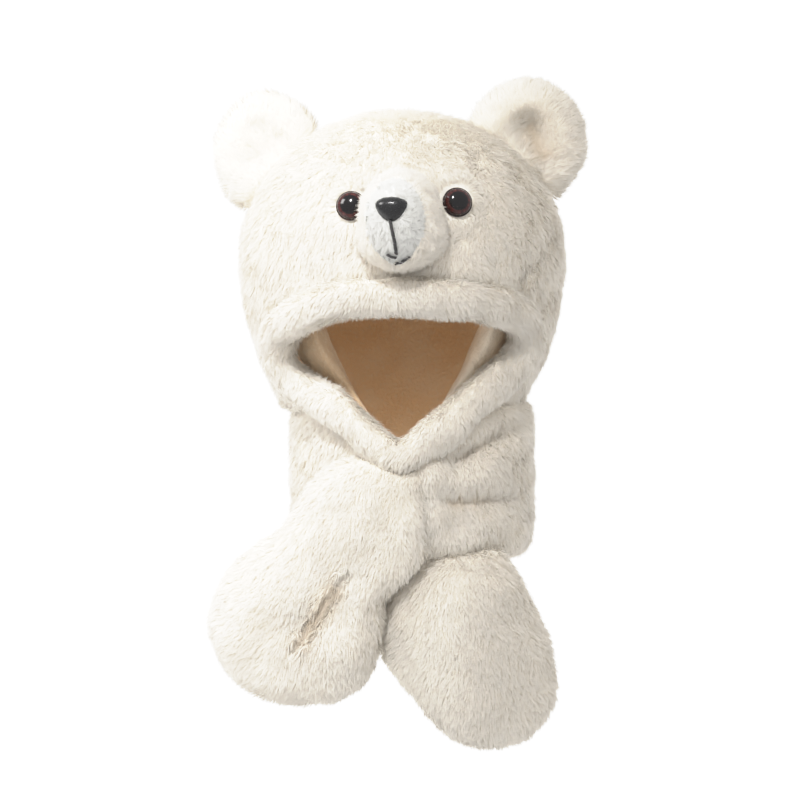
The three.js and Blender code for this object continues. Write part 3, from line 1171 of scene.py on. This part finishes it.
@dataclass
class Band(Plush):
    """The padded band round the face opening."""

    node: str = "face_band"
    seed: int = 23
    cut: PileCut = PileCut().shorter(0.86, lock=0.0036, sway=0.2, density=2.2e6)
    voxel: float = 0.0024
    middle: Place = (0.0, -0.08, -0.14)
    down: float = 0.9
    outward: float = 0.25

    def comb(self, points: Array, normals: Array) -> Array:
        """Brushes down, so that the brow's pile hangs over the opening, and a little outwards.

        Args:
            points: the roots.
            normals: the cloth's normal at each root.

        Returns:
            The way at each root.
        """
        out = points - np.array(self.middle)
        out[:, 1] = 0
        return downwards(points, normals) * self.down + unit(out) * self.outward


@dataclass
class Wrap(Plush):
    """The scarf where it wraps the neck."""

    node: str = "neck_wrap"
    seed: int = 37
    parts: int = 2
    voxel: float = 0.0040
    thin_back: float = 0.8
    presses: Sequence[Press] = (
        # The first two creases have painted shade along them.
        Press((0.016, -0.088, -0.226), (0.084, -0.054, -0.228), 0.0060, 0.006, shade=0.8, pinch=0.3),
        Press((0.022, -0.088, -0.206), (0.084, -0.050, -0.176), 0.0060, 0.005, shade=0.7, pinch=0.2),
        Press((0.022, -0.088, -0.216), (0.086, -0.054, -0.206), 0.009, -0.0035),
        Press((0.020, -0.088, -0.246), (0.082, -0.054, -0.248), 0.011, -0.003),
        Press((0.014, -0.084, -0.190), (0.019, -0.084, -0.262), 0.011, -0.006),
    )
    middle: Place = (0.0065, 0.002, 0.0)
    inner: float = -0.35  # faces that look out less than this have no pile

    def keep(self, points: Array, normals: Array) -> Array:
        """Leaves out the face towards the neck.

        Args:
            points: the roots.
            normals: the cloth's normal at each root.

        Returns:
            True for each root that stays.
        """
        out = points - np.array(self.middle)
        out[:, 2] = 0
        return along(unit(out), normals)[:, 0] > self.inner


@dataclass
class End(Plush):
    """One padded end of the scarf, brushed along its length and out to its sides."""

    top: Place = (0.0, 0.0, 0.0)
    bottom: Place = (0.0, 0.0, 0.0)
    spread: float = 0.7  # how strongly it is brushed sideways at half_wide from the line
    half_wide: float = 0.05

    def comb(self, points: Array, normals: Array) -> Array:
        """Brushes along the end and away from its middle line.

        Args:
            points: the roots.
            normals: the cloth's normal at each root.

        Returns:
            The way at each root.
        """
        top, line = np.array(self.top), np.array(self.bottom) - np.array(self.top)
        share = np.clip((points - top) @ line / (line @ line), 0, 1)[:, None]
        out = points - top - share * line
        return unit(line[None, :]) + out / self.half_wide * self.spread


@dataclass
class Ear(Plush):
    """One round ear, brushed out from its middle."""

    voxel: float = 0.0026
    fill: float = 0.6
    sewn_up: float = 0.12  # where it is sewn on, as a share of its height
    sewn_in: float = 0.8  # and as a share of its middle's distance from the head's

    def comb(self, points: Array, normals: Array) -> Array:
        """Brushes out to the rim like a fan, from where the ear is sewn on.

        Args:
            points: the roots.
            normals: the cloth's normal at each root.

        Returns:
            The way at each root.
        """
        low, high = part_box(self.node)
        sewn = (low + high) / 2
        sewn.z = low.z + (high.z - low.z) * self.sewn_up
        sewn.x *= self.sewn_in
        out = points - np.array(sewn)
        out[:, 1] = 0
        return out


@dataclass
class Muzzle(Plush):
    """The stuffed muzzle, brushed back from its front."""

    node: str = "muzzle"
    seed: int = 71
    cut: PileCut = PileCut().shorter(
        0.85, lift=0.75, sink=0.0026, lock=0.0034, lock_turn=0.35, lock_lift=0.1, stray=0.35, density=3.0e6
    )
    voxel: float = 0.0020
    smooth: int = 2
    front: Place = (-0.003, -0.150, -0.056)
    slim: float = 0.17  # how much narrower it is beside the eyes
    slim_from: float = -0.078  # along Z
    slim_to: float = -0.056
    down: float = 0.15
    eye: Vector = field(default_factory=Vector)
    eye_radius: float = 0.0088
    eye_clear: float = 0.007
    eye_push: float = 2.2

    def pad(self) -> None:
        """Pads the base, and draws it in beside the eyes."""
        super().pad()
        points = points_of(self.base.data)
        share = np.clip((points[:, 2] - self.slim_from) / (self.slim_to - self.slim_from), 0, 1)
        points[:, 0] += (self.front[0] - points[:, 0]) * self.slim * share * share * (3 - 2 * share)
        move_points(self.base.data, points)

    def _from_eye(self, points: Array) -> Array:
        """Gives the level way to each point from the viewer's right eye."""
        return (points - np.array(self.eye)) * np.array([1, 0, 1])

    def comb(self, points: Array, normals: Array) -> Array:
        """Brushes away from the muzzle's front, and away from the eye beside it.

        Args:
            points: the roots.
            normals: the cloth's normal at each root.

        Returns:
            The way at each root.
        """
        away = self._from_eye(points)
        gap = np.linalg.norm(away, axis=1, keepdims=True) - self.eye_radius
        near = np.clip(1 - gap / self.eye_clear, 0, 1)
        return unit(points - np.array(self.front)) + DOWN * self.down + unit(away) * near * self.eye_push

    def keep(self, points: Array, normals: Array) -> Array:
        """Leaves the viewer's right eye clear."""
        return np.linalg.norm(self._from_eye(points), axis=1) > self.eye_radius


@dataclass
class Panel(Plush):
    """The short-piled panel on the muzzle's front."""

    node: str = "muzzle_panel"
    seed: int = 83
    cut: PileCut = PileCut(
        length=0.0040,
        width=0.00036,
        lift=0.7,
        sink=0.0008,
        lock=0.0024,
        pull=0.25,
        lock_turn=0.4,
        lock_lift=0.12,
        sway=0.5,
        density=8.5e6,
    )
    nose: Place = (-0.006, -0.160, -0.055)
    down: float = 0.2
    behind: float = 0.35  # faces that look back more than this have no pile

    def comb(self, points: Array, normals: Array) -> Array:
        """Brushes away from the nose."""
        return unit(points - np.array(self.nose)) + DOWN * self.down

    def keep(self, points: Array, normals: Array) -> Array:
        """Has pile on the front alone."""
        return normals[:, 1] < self.behind

    def build(self, wardrobe: Wardrobe) -> bpy.types.Object:
        """Makes the panel's base, rounded at its edge, and dresses it.

        Args:
            wardrobe: the finishes.

        Returns:
            The base.
        """
        self.base = copy_of(self.node, f"{self.node}_padding")
        apply_modifier(self.base, "SUBSURF", levels=1, render_levels=1)
        apply_modifier(self.base, "SMOOTH", factor=0.3, iterations=1)
        activate(self.base)
        bpy.ops.object.shade_smooth()
        finish_piece(self.base, wardrobe.panel_backing, Slot.SHORT_PILE, self.node)
        return self.base


@dataclass
class Lining:
    """The fleece inside the hood, with its soft cheek rolls."""

    node: str = "hood_lining"
    middle: Place = (0.0, 0.003, -0.10)
    clear: float = 0.0012  # how far it hangs off the wall behind it
    ripple: float = 0.0018  # how uneven it is
    ripple_size: float = 0.028
    seed: int = 5
    upward: float = 0.3  # how much it is drawn to the middle's height

    def build(self, wardrobe: Wardrobe) -> bpy.types.Object:
        """Makes the lining, a little uneven as soft cloth is, and dresses it.

        Args:
            wardrobe: the finishes.

        Returns:
            The lining.
        """
        cloth = copy_of(self.node, f"{self.node}_cloth")
        apply_modifier(cloth, "SUBSURF", levels=1, render_levels=1)
        apply_modifier(cloth, "SMOOTH", factor=0.5, iterations=3)
        points = points_of(cloth.data)
        inward = unit((np.array(self.middle) - points) * np.array([1, 1, self.upward]))
        swell = 0.5 + 0.5 * np.clip(Ripple(self.ripple_size, self.seed).at(points)[:, :1], -1, 1)
        move_points(cloth.data, points + inward * (self.clear + swell * self.ripple))
        activate(cloth)
        bpy.ops.object.shade_smooth()
        finish_piece(cloth, wardrobe.fleece, Slot.FLEECE, self.node)
        return cloth


@dataclass
class Nose:
    """The moulded nose."""

    node: str = "nose"

    def build(self, wardrobe: Wardrobe) -> bpy.types.Object:
        """Makes the nose as one smooth moulding.

        Args:
            wardrobe: the finishes.

        Returns:
            The nose.
        """
        piece = copy_of(self.node, f"{self.node}_moulding")
        apply_modifier(piece, "SUBSURF", levels=2, render_levels=2)
        activate(piece)
        bpy.ops.object.shade_smooth()
        finish_piece(piece, wardrobe.nose, Slot.NOSE, self.node)
        return piece


@dataclass
class Eye:
    """A domed plastic eye: a button with a rolled rim."""

    node: str
    shift: Place = (0.0, 0.0, 0.0)
    radius: float = 0.0085
    dome: float = 0.0052
    back: float = 0.0030
    rim: float = 0.0006
    sides: int = 48
    rings: int = 24
    rim_sides: int = 10
    spokes: tuple[int, int] = (11, 17)  # two sets, laid over each other
    spokes_apart: float = 1.3

    def seat(self) -> Matrix:
        """Works out how the solid sits.

        Returns:
            The place of the rim's middle, with Z along the way that the eye looks.
        """
        points = points_of(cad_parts[self.node].data)
        centre = points.mean(0)
        spread = np.linalg.svd(points - centre, full_matrices=False)[2]
        look = spread[2] * -math.copysign(1.0, spread[2][1])
        reach = (points - centre) @ look
        across = (points - centre) - reach[:, None] * look
        middle = centre + (across.max(0) + across.min(0)) / 2
        place = Vector(middle + look * (reach.max() - self.dome)) + Vector(self.shift)
        return Matrix.Translation(place) @ Vector(look).to_track_quat("Z", "Y").to_matrix().to_4x4()

    def build(self, wardrobe: Wardrobe) -> bpy.types.Object:
        """Models the button at the origin, then seats it.

        Args:
            wardrobe: the finishes.

        Returns:
            The eye.
        """
        deselect_all()
        bpy.ops.mesh.primitive_uv_sphere_add(segments=self.sides, ring_count=self.rings, radius=self.radius)
        piece = bpy.context.active_object
        piece.name = piece.data.name = f"{self.node}_button"
        for is_front, depth in ((True, self.dome), (False, self.back)):
            self._squash(piece, is_front, depth / self.radius)
        bpy.ops.mesh.primitive_torus_add(
            major_segments=self.sides,
            minor_segments=self.rim_sides,
            major_radius=self.radius,
            minor_radius=self.rim,
        )
        rim = bpy.context.active_object
        deselect_all()
        rim.select_set(True)
        piece.select_set(True)
        bpy.context.view_layer.objects.active = piece
        bpy.ops.object.join()
        bpy.ops.object.shade_smooth()
        self._paint(piece.data)
        piece.matrix_world = self.seat()
        activate(piece)
        bpy.ops.object.transform_apply(location=True, rotation=True, scale=True)
        finish_piece(piece, wardrobe.eye, Slot.EYE, self.node)
        return piece

    @staticmethod
    def _squash(piece: bpy.types.Object, is_front: bool, share: float) -> None:
        """Flattens one half of the button along Z, in edit mode.

        Args:
            piece: the button.
            is_front: True for the half above the origin.
            share: how deep that half stays.
        """
        bpy.ops.object.mode_set(mode="EDIT")
        bpy.ops.mesh.select_mode(type="VERT")
        bpy.ops.mesh.select_all(action="DESELECT")
        bpy.ops.object.mode_set(mode="OBJECT")
        for vertex in piece.data.vertices:
            vertex.select = (vertex.co.z > 0) == is_front
        bpy.ops.object.mode_set(mode="EDIT")
        bpy.ops.transform.resize(value=(1, 1, share), center_override=(0, 0, 0))
        bpy.ops.object.mode_set(mode="OBJECT")

    def _paint(self, mesh: bpy.types.Mesh) -> None:
        """Stores how far out each vertex is, and which spoke of the iris it is on.

        Args:
            mesh: the button's mesh, with its dome along Z.
        """
        points = points_of(mesh)
        ring = np.hypot(points[:, 0], points[:, 1]) / self.radius
        turn = np.arctan2(points[:, 1], points[:, 0])
        few, many = self.spokes
        spoke = 0.5 + 0.25 * np.sin(turn * few) + 0.25 * np.sin(turn * many + self.spokes_apart)
        for name, values in (("ring", ring), ("spoke", spoke)):
            attribute = mesh.attributes.new(name, "FLOAT", "POINT")
            attribute.data.foreach_set("value", values.astype(np.float32))


@dataclass
class Mouth:
    """The stitched mouth: satin stitches laid along three strokes on the panel."""

    stitch_long: float = 0.0024
    stitch_thick: float = 0.00040
    plump: float = 1.2  # how much higher than wide a stitch is
    slant: float = 0.5
    spacing: float = 0.00046
    proud: float = 0.0022  # how far it stands off the panel's base, among the pile
    # Each stroke's points seen from the front, as X and Z
    stem: Stroke = ((-0.0066, -0.0600), (-0.0055, -0.0655), (-0.0042, -0.0710), (-0.0033, -0.0780))
    left: Stroke = ((-0.0036, -0.0796), (-0.0060, -0.0791), (-0.0082, -0.0776))
    right: Stroke = ((-0.0049, -0.0829), (-0.0009, -0.0819), (0.0014, -0.0806), (0.0037, -0.0786))

    def _walk(self, stroke: Stroke) -> list[tuple[Vector, Vector]]:
        """Works out where the stitches of a stroke lie.

        Args:
            stroke: its points.

        Returns:
            Evenly spaced places along it, each with the stroke's way there.
        """
        points = [Vector((x, 0.0, z)) for x, z in stroke]
        places: list[tuple[Vector, Vector]] = []
        for start, end in zip(points, points[1:]):
            run = end - start
            count = max(1, round(run.length / self.spacing))
            places += [(start + run * (i / count), run.normalized()) for i in range(count)]
        return places

    def build(self, panel: bpy.types.Object, wardrobe: Wardrobe) -> bpy.types.Object:
        """Lays the stitches on the panel.

        Args:
            panel: the panel's base.
            wardrobe: the finishes.

        Returns:
            The stitches as one piece.
        """
        tree = tree_of(panel.data)
        deselect_all()
        bpy.ops.mesh.primitive_uv_sphere_add(segments=10, ring_count=6, radius=1.0)
        pattern = bpy.context.active_object
        stitches: list[bpy.types.Object] = []
        toward = Vector((0, 1, 0))
        for stroke, slant in ((self.stem, self.slant), (self.left, self.slant), (self.right, -self.slant)):
            for place, way in self._walk(stroke):
                where, normal, _, _ = tree.ray_cast(place - toward, toward)
                if where is not None:
                    stitches.append(self._stitch(pattern, where, normal, way, slant))
        bpy.data.objects.remove(pattern)
        deselect_all()
        for stitch in stitches:
            stitch.select_set(True)
        piece = stitches[0]
        bpy.context.view_layer.objects.active = piece
        bpy.ops.object.join()
        piece.name = "mouth_stitches"
        bpy.ops.object.transform_apply(location=True, rotation=True, scale=True)
        bpy.ops.object.shade_smooth()
        finish_piece(piece, wardrobe.thread, Slot.THREAD)
        return piece

    def _stitch(
        self, pattern: bpy.types.Object, where: Vector, normal: Vector, way: Vector, slant: float
    ) -> bpy.types.Object:
        """Lays one stitch across a stroke.

        Args:
            pattern: a ball of radius one, to copy.
            where: the place on the panel.
            normal: the panel's normal there.
            way: the stroke's way there.
            slant: how far the stitch leans along the stroke.

        Returns:
            The stitch.
        """
        stitch = pattern.copy()
        stitch.data = pattern.data.copy()
        bpy.context.scene.collection.objects.link(stitch)
        lie = (normal.cross(way).normalized() + way * slant).normalized()
        turned = Matrix((lie, normal.cross(lie), normal)).transposed().to_4x4()
        thick = self.stitch_thick
        size = Matrix.Diagonal((self.stitch_long / 2, thick, thick * self.plump, 1.0))
        stitch.matrix_world = Matrix.Translation(where + normal * self.proud) @ turned @ size
        return stitch


@dataclass
class Studio:
    """The pale paper sweep, the soft lights and the camera."""

    aim: Place = (-0.0013, 0.0, -0.170)
    distance: float = 1.22
    elevation: float = math.radians(3.0)
    lens: float = 84.5
    sensor: float = 36.0
    floor: float = -0.75
    sweep: float = 6.0
    wall: float = 4.0
    bend: float = 1.2
    key_place: Place = (-0.405, -1.507, 1.235)
    key_aim: Place = (-1.001, 0.297, -0.145)  # so far left that the light ends at the object's middle
    key_cone: float = math.radians(56)
    key_edge: float = 0.06  # how soft the light's edge is, as a share of the cone
    key_size: float = 0.12
    key_power: float = 200.0
    side_place: Place = (-1.50, -0.66, 0.95)
    side_size: float = 0.7
    side_power: float = 18.0
    room_light: float = 0.86
    white: float = 1.6  # light at least this strong shows as white
    # Light and how bright it shows, so that bright plush keeps its form as on film
    shoulder: Sequence[tuple[float, float]] = (
        (0.0, 0.0), (0.3, 0.3), (0.6, 0.6), (0.8, 0.79), (1.0, 0.895), (1.2, 0.945), (1.4, 0.975), (1.6, 1.0),
    )

    def build(self) -> None:
        """Sets up the whole studio."""
        self._paper()
        self._hang(
            "key", "SPOT", self.key_place, self.key_aim,
            energy=self.key_power,
            color=(1.0, 0.995, 0.985),
            spot_size=self.key_cone,
            spot_blend=self.key_edge,
            shadow_soft_size=self.key_size,
        )
        self._hang(
            "side", "AREA", self.side_place, self.aim,
            energy=self.side_power,
            color=(1.0, 0.99, 0.975),
            size=self.side_size,
        )
        self._world()
        self._camera()

    def _paper(self) -> None:
        """Models the floor and the wall behind as one bent sheet."""
        deselect_all()
        bpy.ops.mesh.primitive_plane_add(size=self.sweep, location=(0, 0, self.floor))
        sheet = bpy.context.active_object
        sheet.name = "studio_sweep"
        back = self.sweep / 2
        bpy.ops.object.mode_set(mode="EDIT")
        bpy.ops.mesh.select_all(action="DESELECT")
        bpy.ops.object.mode_set(mode="OBJECT")
        for edge in sheet.data.edges:
            edge.select = all(sheet.data.vertices[v].co.y > back * 0.9 for v in edge.vertices)
        bpy.ops.object.mode_set(mode="EDIT")
        bpy.ops.mesh.select_mode(type="EDGE")
        bpy.ops.mesh.extrude_region_move(TRANSFORM_OT_translate={"value": (0, 0, self.wall)})
        bpy.ops.object.mode_set(mode="OBJECT")
        apply_modifier(sheet, "BEVEL", width=self.bend, segments=16, limit_method="ANGLE")
        activate(sheet)
        bpy.ops.object.transform_apply(location=True, rotation=True, scale=True)
        bpy.ops.object.shade_smooth()
        sheet.data.materials.append(PaperFinish().make())
        sheet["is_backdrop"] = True

    @staticmethod
    def _hang(name: str, kind: str, place: Place, aim: Place, **settings: Any) -> None:
        """Hangs a lamp, turned to what it lights.

        Args:
            name: its name.
            kind: its type, such as SPOT.
            place: where it hangs.
            aim: what it is turned to.
            settings: the lamp's own settings.
        """
        lamp = bpy.data.lights.new(name, kind)
        for setting, value in settings.items():
            setattr(lamp, setting, value)
        holder = bpy.data.objects.new(name, lamp)
        bpy.context.scene.collection.objects.link(holder)
        holder.location = place
        holder.rotation_euler = (Vector(aim) - Vector(place)).to_track_quat("-Z", "Y").to_euler()

    def _world(self) -> None:
        """Fills the room with soft even light, and shows colours as they are."""
        world = bpy.data.worlds.new("studio")
        bpy.context.scene.world = world
        world.use_nodes = True
        background = next(n for n in world.node_tree.nodes if n.type == "BACKGROUND")
        background.inputs["Color"].default_value = (1.0, 0.992, 0.98, 1)
        background.inputs["Strength"].default_value = self.room_light
        view = bpy.context.scene.view_settings
        view.view_transform = "Standard"
        view.use_curve_mapping = True
        curves = view.curve_mapping
        curves.white_level = (self.white,) * 3
        curve = curves.curves[3]  # the one for all three colours
        for light, shown in self.shoulder[1:-1]:
            curve.points.new(light / self.white, shown)
        curve.points[-1].location = (1.0, self.shoulder[-1][1])
        curves.update()

    def _camera(self) -> None:
        """Places the camera at the photo's angle."""
        data = bpy.data.cameras.new("camera")
        data.lens, data.sensor_width = self.lens, self.sensor
        camera = bpy.data.objects.new("camera", data)
        bpy.context.scene.collection.objects.link(camera)
        back = Vector((0.0, -math.cos(self.elevation), math.sin(self.elevation)))
        camera.location = Vector(self.aim) + back * self.distance
        camera.rotation_euler = (-back).to_track_quat("-Z", "Y").to_euler()
        bpy.context.scene.camera = camera


def middle_of(node: str) -> Vector:
    """Gives the middle of a solid's box."""
    low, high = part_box(node)
    return (low + high) / 2


def ends() -> tuple[End, End]:
    """Sets out the scarf's two ends.

    Returns:
        The viewer's left end, with its fold, and the right one behind it.
    """
    left = End(
        "scarf_end_left",
        seed=41,
        top=(-0.01, -0.085, -0.2),
        bottom=(-0.07, -0.085, -0.34),
        presses=(
            # The fold, with painted shade along it.
            Press(
                (-0.028, -0.1085, -0.260), (-0.071, -0.1085, -0.324), 0.0125, 0.0, 0.6, pinch=0.88, floor=0.94
            ),
            Press((-0.022, -0.103, -0.250), (-0.074, -0.103, -0.328), 0.017, 0.0045),
            Press((-0.016, -0.103, -0.272), (-0.036, -0.103, -0.330), 0.011, -0.003),
            Press((0.016, -0.092, -0.200), (0.019, -0.092, -0.250), 0.009, 0.004),
        ),
    )
    right = End(
        "scarf_end_right",
        seed=53,
        top=(0.045, -0.07, -0.255),
        bottom=(0.05, -0.07, -0.37),
        presses=(
            Press((0.026, -0.090, -0.256), (0.044, -0.090, -0.384), 0.024, -0.008),
            Press((0.070, -0.090, -0.275), (0.080, -0.090, -0.360), 0.018, 0.004),
        ),
    )
    return left, right


def ears() -> tuple[Ear, Ear]:
    """Sets out the two ears, each hollowed in front, the right one with painted shade in its hollow.

    Returns:
        The viewer's left ear and the right one.
    """
    left = Press((-0.096, -0.016, 0.010), (-0.080, -0.016, -0.020), 0.015, 0.003)
    # The right ear's hollow has painted shade in it.
    right = Press((0.074, -0.016, 0.014), (0.094, -0.016, -0.026), 0.015, 0.008, 0.6)
    return Ear("ear_left", seed=61, presses=(left,)), Ear("ear_right", seed=67, presses=(right,))


def main() -> None:
    """Builds the studio and every piece, and logs how many fibres and faces they have."""
    logging.basicConfig(level=logging.INFO, format="%(name)s: %(message)s")
    Studio().build()
    wardrobe = Wardrobe.made()
    cover = Cover()

    hood = Hood(eyes=[middle_of("eye_left"), middle_of("eye_right")])
    band, wrap, muzzle, panel = Band(), Wrap(), Muzzle(eye=middle_of("eye_right")), Panel()
    loose = (*ends(), *ears())
    for plush in (hood, band, wrap, muzzle, panel, *loose):
        cover.add(plush.build(wardrobe))
    cover.add(Lining().build(wardrobe))
    cover.add(Nose().build(wardrobe))
    for eye in (Eye("eye_left", shift=(-0.0008, 0, 0)), Eye("eye_right", shift=(0.0002, 0, -0.0013))):
        cover.add(eye.build(wardrobe))
    Mouth().build(panel.base, wardrobe)

    fibres = sum(plush.grow(cover, wardrobe.pile) for plush in (hood, wrap, *loose))
    fibres += band.grow(cover, wardrobe.band_pile)
    fibres += muzzle.grow(cover, wardrobe.muzzle_pile)
    fibres += panel.grow(cover, wardrobe.panel_pile, Slot.SHORT_PILE)
    faces = sum(len(piece.data.loop_triangles) or len(piece.data.polygons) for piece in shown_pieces())
    log.info("%d fibres; %d faces in all", fibres, faces)


if __name__ == "__main__":
    main()
